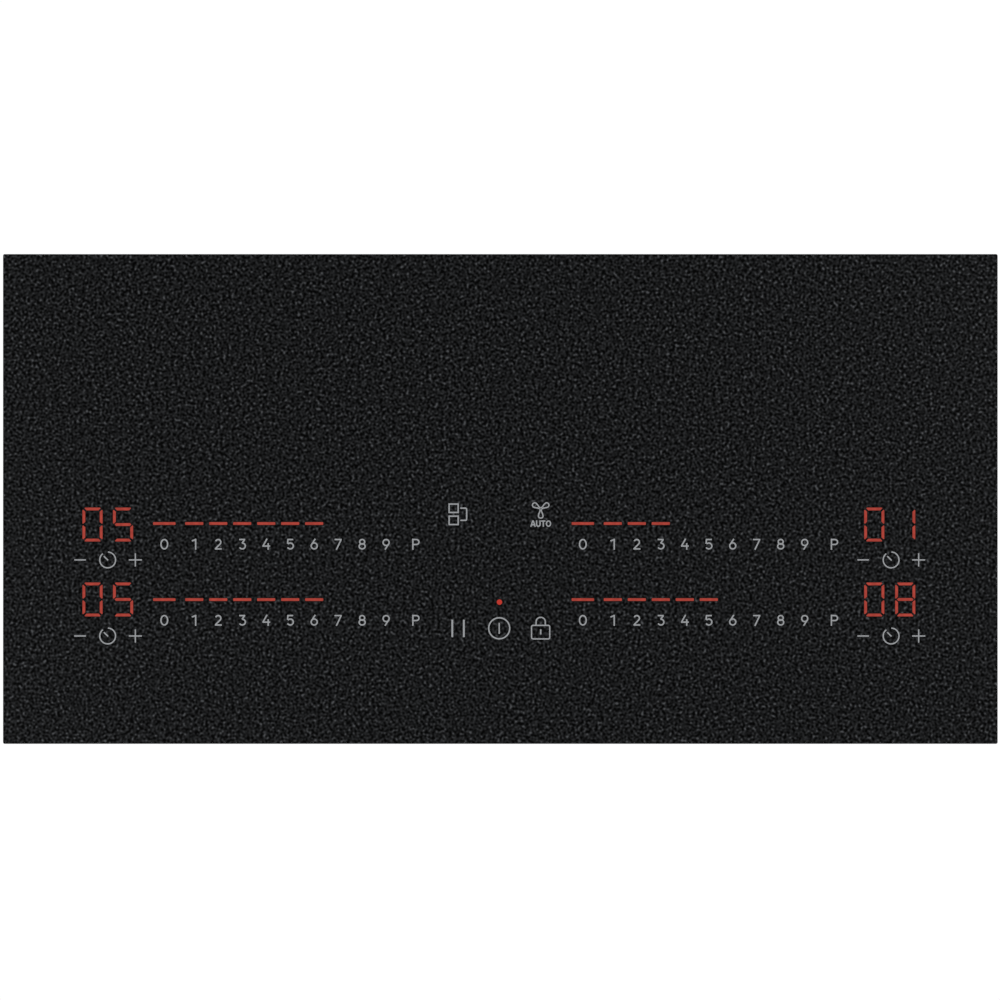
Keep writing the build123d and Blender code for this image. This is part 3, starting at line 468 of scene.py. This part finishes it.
FAN_X, FAN_Y, LETTERS_Y = 35.7, -8.7, -21.8
for turn in (-90, 32, 148):
    draw(blade(turn), FAN_INK, (FAN_X, FAN_Y))
for letter, x in zip("AUTO", (28.9, 33.6, 38.0, 42.6)):
    write(letter, x, LETTERS_Y, FAN_INK)
for x in (-42.5, -32.3):
    draw([(x, -106.8), (x, -122.2)], PAUSE_INK)
draw(loop(-1.0, -114.4, 9.3, 9.3), ICON_INK, closed=True)
draw([(-1.0, -109.6), (-1.0, -119.3)], FINE_INK)
lock = []
for x, y, start in ((29.0, -113.2, 180), (42.3, -113.2, 90), (42.3, -122.4, 0), (29.0, -122.4, -90)):
    lock += arc(x, y, LOCK_BEND, LOCK_BEND, start, start - 90, 5)
draw(lock, FINE_INK, closed=True)
draw([(31.6, -111.8)] + arc(FAN_X, -108.5, 4.05, 3.8, 180, 0, 16) + [(39.8, -111.8)], FINE_INK)
draw([(FAN_X, -115.4), (FAN_X, -119.8)], KEYHOLE_INK)
print("all strokes:", len(strokes))

# %% [markdown]
# Every stroke of one width becomes a spline of one curve, and that curve becomes a mesh.
# The print is laid 0.04 mm proud of the glass, about what a fired ink stands up.

# %% Turn the strokes into one printed piece
INK_HEIGHT, INK_PROUD = 0.00012, 0.00004
LEVELS, LEVEL_RISE = 6, 0.0000025


def ribbon_mesh(width, lines):
    """Flat ribbons of one width in mm, at a few heights a hair apart, so that crossings stay clean."""
    profile_data = bpy.data.curves.new("ribbon_profile", "CURVE")
    profile_data.dimensions = "2D"
    profile_data.fill_mode = "NONE"
    outline = profile_data.splines.new("POLY")
    outline.points.add(3)
    half, rise = width * MM / 2, INK_HEIGHT / 2
    for point, (x, y) in zip(outline.points, ((-half, -rise), (half, -rise), (half, rise), (-half, rise))):
        point.co = (x, y, 0, 1)
    outline.use_cyclic_u = True
    profile = bpy.data.objects.new("ribbon_profile", profile_data)
    scene.collection.objects.link(profile)
    data = bpy.data.curves.new("ribbons", "CURVE")
    data.dimensions = "3D"
    data.twist_mode = "Z_UP"
    data.bevel_mode = "OBJECT"
    data.bevel_object = profile
    data.use_fill_caps = True
    for n, (points, closed) in enumerate(lines):
        line = data.splines.new("POLY")
        line.points.add(len(points) - 1)
        for point, (x, y) in zip(line.points, points):
            point.co = (x * MM, y * MM, (n % LEVELS) * LEVEL_RISE, 1)
        line.use_cyclic_u = closed
        line.use_smooth = False
    carrier = bpy.data.objects.new("ribbons", data)
    scene.collection.objects.link(carrier)
    bpy.context.view_layer.update()
    mesh = bpy.data.meshes.new_from_object(carrier.evaluated_get(bpy.context.evaluated_depsgraph_get()))
    bpy.data.objects.remove(carrier)
    bpy.data.objects.remove(profile)
    return mesh


ink_finish = grained(
    "fired_grey_ink", ((0.280, 0.290, 0.301), (0.317, 0.327, 0.337)),
    900.0, (0.45, 0.6), 0.000004, Specular_IOR_Level=0.3,
)
print_shape = bmesh.new()
for width in sorted({w for _, w, _ in strokes}):
    ribbons = ribbon_mesh(width, [(points, closed) for points, w, closed in strokes if w == width])
    print_shape.from_mesh(ribbons)
    bpy.data.meshes.remove(ribbons)
bmesh.ops.remove_doubles(print_shape, verts=print_shape.verts, dist=1e-7)
bmesh.ops.recalc_face_normals(print_shape, faces=print_shape.faces)
heights = [v.co.z for v in print_shape.verts]
print("print thickness in mm:", round((max(heights) - min(heights)) / MM, 3))
print_z = glass_high.z + INK_PROUD - INK_HEIGHT / 2
bmesh.ops.translate(print_shape, verts=print_shape.verts, vec=(0, 0, print_z))
new_piece("printed_scales", print_shape, [ink_finish], "hob")

# %% [markdown]
# ## Lit segments
# Behind the glass sit LED modules, and their light shows as red bars in dark windows of the print.
# Each window is a bar with cut corners, a little larger and darker than the light in it.
# A slider's bar is a box with its four upright edges bevelled. The seven bars of a digit have slanted ends,
# so each is drawn as an outline and extruded.

# %% Segment helper
WINDOW_MARGIN = 0.55


def add_slab(shape, x, y, length, width, z0, z1, cut):
    """A flat bar with its corners cut off; all in mm but the heights."""
    known = set(shape.verts)
    bmesh.ops.create_cube(shape, size=1.0)
    new = [v for v in shape.verts if v not in known]
    bmesh.ops.scale(shape, verts=new, vec=(length * MM, width * MM, z1 - z0))
    rims = {e for v in new for e in v.link_edges if abs(e.verts[0].co.z - e.verts[1].co.z) > (z1 - z0) / 2}
    cut_edges(shape, list(rims), cut * MM, 1)
    new = [v for v in shape.verts if v not in known]
    bmesh.ops.translate(shape, verts=new, vec=(x * MM, y * MM, (z0 + z1) / 2))


def add_outline(shape, outline, x, y, z0, z1, turn):
    """A flat bar from its outline in mm, turned about its centre and moved to a place."""
    low = [shape.verts.new((u * MM, v * MM, z0)) for u, v in outline]
    floor_face = shape.faces.new(low)
    grown = bmesh.ops.extrude_face_region(shape, geom=[floor_face])["geom"]
    top = [g for g in grown if isinstance(g, bmesh.types.BMVert)]
    bmesh.ops.translate(shape, verts=top, vec=(0, 0, z1 - z0))
    bmesh.ops.rotate(shape, verts=low + top, cent=(0, 0, 0), matrix=Matrix.Rotation(turn, 3, "Z"))
    bmesh.ops.translate(shape, verts=low + top, vec=(x * MM, y * MM, 0))


SEGMENT_W, BLUNT, MITRE, POINT = 2.45, 0.6, 1.7, 1.1


def mitred(half, grow=0.0):
    """A bar with both ends slanted towards its inner side, which is its lower side."""
    h, w = half + grow, SEGMENT_W / 2 + grow
    right = [(h - MITRE, -w), (h, w - BLUNT), (h - BLUNT, w)]
    return right + [(-u, v) for u, v in reversed(right)]


def pointed(half, grow=0.0):
    """A bar with a point at both ends, for the middle of a digit."""
    h, w = half + grow, SEGMENT_W / 2 + grow
    right = [(h - POINT, -w), (h, 0), (h - POINT, w)]
    return right + [(-u, v) for u, v in reversed(right)]


DIGIT_HALF_W, DIGIT_HALF_H = 7.65, 13.75
LEVEL_HALF, UPRIGHT_HALF, MIDDLE_HALF = 7.1, 6.2, 7.3
SEGMENTS = {
    "a": (0, DIGIT_HALF_H, LEVEL_HALF, 0), "d": (0, -DIGIT_HALF_H, LEVEL_HALF, math.pi),
    "f": (-DIGIT_HALF_W, DIGIT_HALF_H / 2, UPRIGHT_HALF, math.pi / 2),
    "e": (-DIGIT_HALF_W, -DIGIT_HALF_H / 2, UPRIGHT_HALF, math.pi / 2),
    "b": (DIGIT_HALF_W, DIGIT_HALF_H / 2, UPRIGHT_HALF, -math.pi / 2),
    "c": (DIGIT_HALF_W, -DIGIT_HALF_H / 2, UPRIGHT_HALF, -math.pi / 2),
    "g": (0, 0, MIDDLE_HALF, 0),
}
LIT = {"0": "abcdef", "1": "bc", "5": "acdfg", "8": "abcdefg"}
FIRST_BAR, NEXT_BAR, BAR_WIDTH, BAR_CUT, WINDOW_CUT = 19.8, 16.0, 2.4, 0.4, 0.7
PILOT_PLACE, PILOT_RADIUS = (-0.8, -91.25), 2.35

# %% Place the light bars and digits
TOP = glass_high.z
LIGHT_LOW, LIGHT_HIGH, WINDOW_HIGH = TOP - 0.0001, TOP + 0.00005, TOP + 0.00002
light_shape, window_shape = bmesh.new(), bmesh.new()
count = 0
for (row, column), level in LIT_LEVELS.items():
    for n, x in enumerate(mark_places(SLIDERS[column])[:level]):
        length, y = NEXT_BAR if n else FIRST_BAR, ROWS[row]
        add_slab(light_shape, x, y, length, BAR_WIDTH, LIGHT_LOW, LIGHT_HIGH, BAR_CUT)
        wide, deep = length + 2 * WINDOW_MARGIN, BAR_WIDTH + 2 * WINDOW_MARGIN
        add_slab(window_shape, x, y, wide, deep, LIGHT_LOW, WINDOW_HIGH, WINDOW_CUT)
        count += 1
for (row, column), reading in READINGS.items():
    for digit_x, sign in zip(DIGIT_PLACES[column], reading):
        for name in LIT[sign]:
            dx, dy, half, turn = SEGMENTS[name]
            outline = pointed if name == "g" else mitred
            x, y = digit_x + dx, ROWS[row] - DIGIT_DROPS[row] + dy
            add_outline(light_shape, outline(half), x, y, LIGHT_LOW, LIGHT_HIGH, turn)
            add_outline(window_shape, outline(half, WINDOW_MARGIN), x, y, LIGHT_LOW, WINDOW_HIGH, turn)
            count += 1
bar_faces = set(light_shape.faces)
for shape, margin, high in ((light_shape, 0, LIGHT_HIGH), (window_shape, WINDOW_MARGIN, WINDOW_HIGH)):
    place = Matrix.Translation((PILOT_PLACE[0] * MM, PILOT_PLACE[1] * MM, (LIGHT_LOW + high) / 2))
    radius = (PILOT_RADIUS + margin) * MM
    bmesh.ops.create_cone(
        shape, cap_ends=True, segments=40, radius1=radius, radius2=radius,
        depth=high - LIGHT_LOW, matrix=place,
    )
for face in set(light_shape.faces) - bar_faces:
    face.material_index = 1
for shape in (light_shape, window_shape):
    bmesh.ops.recalc_face_normals(shape, faces=shape.faces)
print("lit bars:", count)

# %% Red light and dark windows


def red_light(name, dim, bright):
    """A lit red surface whose glow wavers a little over its length."""
    mat, shader = bare_material(name, Roughness=0.5, Specular_IOR_Level=0.2)
    place = object_pattern(mat)
    noise = add_node(mat, "ShaderNodeTexNoise", {"Scale": 260.0, "Detail": 1.0})
    join(mat, place, "Vector", noise, "Vector")
    ramp = tone_ramp(mat, [(0.3, dim), (0.7, bright)])
    join(mat, noise, "Fac", ramp, "Fac")
    join(mat, ramp, "Color", shader, "Emission Color")
    shader.inputs["Emission Strength"].default_value = 1.0
    shader.inputs["Base Color"].default_value = (0.02, 0.003, 0.002, 1)
    return mat


glow_finish = red_light("red_light", (0.312, 0.036, 0.025), (0.413, 0.052, 0.036))
pilot_finish = red_light("pilot_light", (0.46, 0.030, 0.019), (0.56, 0.038, 0.024))
window_finish = grained(
    "smoked_window", ((0.0035, 0.0028, 0.0028), (0.0075, 0.0050, 0.0048)),
    400.0, (0.35, 0.45), 0.000002, Specular_IOR_Level=0.3,
)
new_piece("lit_segments", light_shape, [glow_finish, pilot_finish], "hob")
new_piece("segment_windows", window_shape, [window_finish], "hob")

# %% [markdown]
# ## Finishes of the housing
# The tray is galvanised sheet: its zinc has frozen in flat crystals, which a Voronoi pattern gives as cells
# of slightly different grey; the gloss varies in broad clouds. Coated, cast and moulded pieces get a fine
# noise instead.

# %% Galvanised sheet
zinc_finish, zinc_shader = bare_material("galvanised_sheet", 0.9)
zinc_place = object_pattern(zinc_finish)
crystals = add_node(zinc_finish, "ShaderNodeTexVoronoi", {"Scale": 175.0, "Randomness": 1.0})
clouds = add_node(zinc_finish, "ShaderNodeTexNoise", {"Scale": 14.0, "Detail": 3.0})
join(zinc_finish, zinc_place, "Vector", crystals, "Vector")
join(zinc_finish, zinc_place, "Vector", clouds, "Vector")
grey = add_node(zinc_finish, "ShaderNodeRGBToBW")
join(zinc_finish, crystals, "Color", grey, "Color")
zinc_ramp = tone_ramp(zinc_finish, [(0.15, (0.43, 0.44, 0.455)), (0.85, (0.57, 0.58, 0.595))])
join(zinc_finish, grey, "Val", zinc_ramp, "Fac")
join(zinc_finish, zinc_ramp, "Color", zinc_shader, "Base Color")
spread(zinc_finish, 0.42, 0.60, clouds, "Fac", zinc_shader, "Roughness")
raise_bump(zinc_finish, grey, "Val", zinc_shader, 0.00001, 0.4)

# %% Other housing finishes


def coat(nodes, *words):
    """One grained finish for the nodes whose names, or the starts of them, are given."""
    made = grained(*words)
    for node in nodes.split():
        FINISH[node] = made


FINISH["base_tray"] = FINISH["clamp_brackets"] = zinc_finish
coat(
    "terminal_cover clamp_arm", "plain_zinc_sheet",
    ((0.33, 0.335, 0.34), (0.43, 0.435, 0.44)), 90.0, (0.34, 0.5), 0.000004, 0.9,
)
coat(
    "worktop_seal", "closed_cell_foam",
    ((0.022, 0.022, 0.024), (0.055, 0.055, 0.058)), 700.0, (0.75, 0.95), 0.00008,
)
coat(
    "glass_bond", "silicone_bond",
    ((0.015, 0.015, 0.016), (0.03, 0.03, 0.031)), 150.0, (0.35, 0.5), 0.00005,
)
coat(
    "support_frame", "black_powder_coat",
    ((0.030, 0.030, 0.032), (0.055, 0.055, 0.058)), 600.0, (0.45, 0.6), 0.00002,
)
coat(
    "centring_springs deck_springs", "spring_steel",
    ((0.20, 0.195, 0.185), (0.31, 0.305, 0.295)), 60.0, (0.32, 0.50), 0.000004, 1.0, (1, 8, 1),
)
coat(
    "tray_screws clamp_screws terminal_cover_screws terminal_screws clamp_nut", "zinc_plate",
    ((0.50, 0.50, 0.46), (0.68, 0.68, 0.66)), 300.0, (0.22, 0.38), 0.000005, 1.0,
)
coat(
    "rating_plate", "satin_foil",
    ((0.55, 0.55, 0.56), (0.70, 0.70, 0.71)), 90.0, (0.30, 0.42), 0.000002, 0.8, (0.5, 14, 1),
)
coat(
    "cable_gland", "moulded_nylon_black",
    ((0.018, 0.018, 0.019), (0.034, 0.034, 0.035)), 420.0, (0.38, 0.52), 0.00001,
)

# %% Finishes inside the tray
coat(
    "coil_deck_plate heat_sink", "mill_aluminium",
    ((0.62, 0.63, 0.64), (0.80, 0.81, 0.82)), 40.0, (0.28, 0.45), 0.000006, 1.0, (1, 16, 16),
)
coat(
    "ferrite_bars", "sintered_ferrite",
    ((0.022, 0.022, 0.025), (0.050, 0.050, 0.054)), 800.0, (0.6, 0.8), 0.00002,
)
coat(
    "mica_sheet", "mica_paper",
    ((0.36, 0.30, 0.20), (0.60, 0.53, 0.40)), 180.0, (0.22, 0.5), 0.00001, 0.15,
)
coat(
    "coil_former", "heatproof_moulding",
    ((0.46, 0.43, 0.37), (0.60, 0.57, 0.50)), 350.0, (0.5, 0.65), 0.00001,
)
coat(
    "zone_sensors", "silicone_cup",
    ((0.62, 0.60, 0.56), (0.74, 0.72, 0.68)), 260.0, (0.45, 0.6), 0.00001,
)
coat(
    "coil_leads", "braided_sleeve",
    ((0.26, 0.05, 0.03), (0.48, 0.12, 0.07)), 900.0, (0.6, 0.8), 0.00008,
)
coat(
    "insulation_liner", "liner_film",
    ((0.50, 0.48, 0.38), (0.66, 0.64, 0.55)), 60.0, (0.2, 0.32), 0.00002,
)
coat(
    "support_posts", "natural_nylon",
    ((0.60, 0.58, 0.52), (0.74, 0.72, 0.67)), 240.0, (0.4, 0.55), 0.00001,
)
coat(
    "power_transistors filter_parts board_parts", "epoxy_case",
    ((0.020, 0.020, 0.022), (0.042, 0.042, 0.045)), 700.0, (0.45, 0.62), 0.00001,
)
coat(
    "fan_rotor", "moulded_grey",
    ((0.075, 0.076, 0.078), (0.110, 0.111, 0.114)), 380.0, (0.36, 0.50), 0.00001,
)
coat(
    "fan_housing control_carrier", "moulded_black",
    ((0.020, 0.020, 0.022), (0.040, 0.040, 0.043)), 380.0, (0.42, 0.58), 0.00001,
)
coat(
    "terminal_block", "thermoset_cream",
    ((0.42, 0.39, 0.33), (0.56, 0.53, 0.46)), 300.0, (0.4, 0.55), 0.00001,
)
coat(
    "touch_pads", "conductive_foam",
    ((0.03, 0.03, 0.033), (0.075, 0.075, 0.08)), 900.0, (0.8, 0.95), 0.0001,
)
coat(
    "display_modules light_bars", "potted_black",
    ((0.010, 0.010, 0.011), (0.022, 0.022, 0.024)), 200.0, (0.2, 0.34), 0.000004,
)
coat(
    "pilot_lamp", "tinted_lens",
    ((0.34, 0.02, 0.015), (0.50, 0.05, 0.035)), 300.0, (0.2, 0.35), 0.000004,
)

# %% [markdown]
# ## Circuit boards
# A board is green or black lacquer over copper tracks. Tracks run in straight lines of one width,
# so the joints of a brick pattern with uneven bricks stand for them, and dots stand for the soldered holes.

# %% Circuit board finish


LACQUER_SHADE, SOLDER, HOLE_SHARE = (1.2, 1.25, 1.2), (0.62, 0.62, 0.60, 1), 0.22


def board_finish(name, lacquer, track):
    """Lacquer with raised tracks under it and bright dots of solder."""
    mat, shader = bare_material(name, Roughness=0.32)
    place = object_pattern(mat)
    bricks = {
        "Scale": 90.0,
        "Mortar Size": 0.03,
        "Mortar Smooth": 0.1,
        "Brick Width": 1.1,
        "Row Height": 0.2,
    }
    tracks = add_node(mat, "ShaderNodeTexBrick", bricks, offset=0.37, squash=0.55, squash_frequency=3)
    tracks.inputs["Color1"].default_value = (*lacquer, 1)
    tracks.inputs["Color2"].default_value = (*[c * k for c, k in zip(lacquer, LACQUER_SHADE)], 1)
    tracks.inputs["Mortar"].default_value = (*track, 1)
    join(mat, place, "Vector", tracks, "Vector")
    holes = add_node(mat, "ShaderNodeTexVoronoi", {"Scale": 170.0, "Randomness": 0.35})
    join(mat, place, "Vector", holes, "Vector")
    dots = add_node(mat, "ShaderNodeMath", {1: HOLE_SHARE}, operation="LESS_THAN")
    join(mat, holes, "Distance", dots, 0)
    blend = add_node(mat, "ShaderNodeMixRGB")
    blend.inputs["Color2"].default_value = SOLDER
    join(mat, dots, "Value", blend, "Fac")
    join(mat, tracks, "Color", blend, "Color1")
    join(mat, blend, "Color", shader, "Base Color")
    raise_bump(mat, tracks, "Fac", shader, 0.00003, 0.5)
    return mat


FINISH["power_board"] = board_finish("green_board", (0.012, 0.085, 0.035), (0.03, 0.16, 0.06))
FINISH["filter_board"] = FINISH["power_board"]
FINISH["touch_board"] = board_finish("black_board", (0.006, 0.010, 0.009), (0.02, 0.035, 0.03))

# %% Ribbon cable finish
flat_cable, flat_shader = bare_material("flat_cable", Roughness=0.5)
cable_place = object_pattern(flat_cable)
cores = add_node(flat_cable, "ShaderNodeTexWave", {"Scale": 250.0, "Distortion": 0.0}, bands_direction="X")
join(flat_cable, cable_place, "Vector", cores, "Vector")
# The grey is painted darker in the grooves between the cores, where the bump is low: this is painted shade,
# not a second colour of the cable.
core_and_groove_shade_ramp = tone_ramp(flat_cable, [(0.1, (0.16, 0.16, 0.17)), (0.9, (0.38, 0.38, 0.40))])
join(flat_cable, cores, "Fac", core_and_groove_shade_ramp, "Fac")
join(flat_cable, core_and_groove_shade_ramp, "Color", flat_shader, "Base Color")
raise_bump(flat_cable, cores, "Fac", flat_shader, 0.0002, 0.6)
FINISH["ribbon_cables"] = flat_cable

# %% [markdown]
# ## Wound coils
# A coil is one long spiral of litz: hundreds of thin enamelled copper strands twisted into a rope about
# 4 mm thick. A curve with a round bevel is the simplest way to make a wire, and its own length coordinate
# carries the twist, so the strands stay slanted along every turn. The CAD model holds only the ring of
# space that they fill.

# %% Litz finish
litz_finish, litz_shader = bare_material("litz_wire", 0.85)
litz_coords = add_node(litz_finish, "ShaderNodeTexCoord")
litz_slant = add_node(litz_finish, "ShaderNodeMapping")
litz_slant.inputs["Scale"].default_value = (420.0, 3.0, 1.0)
join(litz_finish, litz_coords, "UV", litz_slant, "Vector")
strand_wave = {"Scale": 1.0, "Distortion": 0.6, "Detail": 1.0}
strands = add_node(litz_finish, "ShaderNodeTexWave", strand_wave, bands_direction="DIAGONAL")
join(litz_finish, litz_slant, "Vector", strands, "Vector")
# The copper is painted dark brown in the gaps between the strands, where the bump is low: painted shade.
# The brighter tone is the copper itself.
copper_and_gap_shade_ramp = tone_ramp(litz_finish, [(0.1, (0.20, 0.065, 0.025)), (0.85, (0.62, 0.27, 0.13))])
join(litz_finish, strands, "Fac", copper_and_gap_shade_ramp, "Fac")
join(litz_finish, copper_and_gap_shade_ramp, "Color", litz_shader, "Base Color")
spread(litz_finish, 0.28, 0.5, strands, "Fac", litz_shader, "Roughness", 0.0, 1.0)
raise_bump(litz_finish, strands, "Fac", litz_shader, 0.0003, 0.7)

# %% Wind the four coils
WIRE_R, EYE_R, TURNS, TURN_POINTS = 0.00195, 0.0242, 13, 40
for n in range(1, 5):
    low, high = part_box(f"coil_winding_{n}")
    centre = (low + high) / 2
    outer = (high.x - low.x) / 2 - WIRE_R
    spiral_data = bpy.data.curves.new(f"litz_{n}", "CURVE")
    spiral_data.dimensions = "3D"
    spiral_data.bevel_depth = WIRE_R
    spiral_data.bevel_resolution = 2
    spiral_data.use_fill_caps = True
    turn_line = spiral_data.splines.new("POLY")
    turn_line.points.add(TURNS * TURN_POINTS)
    for k, point in enumerate(turn_line.points):
        share = k / (TURNS * TURN_POINTS)
        radius, angle = EYE_R + (outer - EYE_R) * share, 2 * math.pi * TURNS * share
        point.co = (centre.x + radius * math.cos(angle), centre.y + radius * math.sin(angle), centre.z, 1)
    spiral = bpy.data.objects.new(f"litz_{n}", spiral_data)
    scene.collection.objects.link(spiral)
    bpy.context.view_layer.update()
    wound = bpy.data.meshes.new_from_object(spiral.evaluated_get(bpy.context.evaluated_depsgraph_get()))
    bpy.data.objects.remove(spiral)
    coil = bpy.data.objects.new(f"wound_coil_{n}", wound)
    scene.collection.objects.link(coil)
    wound.materials.clear()
    wound.materials.append(litz_finish)
    wound.shade_smooth()
    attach(coil, "coil_deck")
    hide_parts(f"coil_winding_{n}")
    print("coil", n, "faces:", len(wound.polygons))

# %% [markdown]
# ## Springs and leads that give
# The springs press the deck up to the glass, and a heavy press on it makes it give way a little.
# The springs then shorten and the leads bend, since the tray holds their lower ends and the deck their
# upper ends.
# Here both are only copied out of the CAD model as pieces of their own, each with its finish; nothing makes
# them shorten or bend.

# %% Pieces between the tray and the deck
GIVING = (
    ("deck_springs", "giving_springs", "spring_steel"),
    ("coil_leads", "giving_leads", "lead_sleeve"),
)
for node, name, slot in GIVING:
    giving = bpy.data.objects.new(name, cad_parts[node].data.copy())
    giving.data.name = name
    giving.data.materials.clear()
    giving.data.materials.append(FINISH[node])
    scene.collection.objects.link(giving)
    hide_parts(node)
    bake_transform(giving)
    print(name, "faces:", len(giving.data.polygons))

# %% [markdown]
# ## Putting the finishes on
# Each CAD node gets the finish named after it, or after the family that it belongs to.

# %% Assign finishes
FINISH["glass_top"] = glass_finish
FINISH["coil_winding"] = litz_finish
for name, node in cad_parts.items():
    family = [key for key in FINISH if name.startswith(key)]
    if not family:
        print("no finish yet for", name)
        continue
    node.data.materials.clear()
    node.data.materials.append(FINISH[max(family, key=len)])
print("finished nodes:", len(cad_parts))
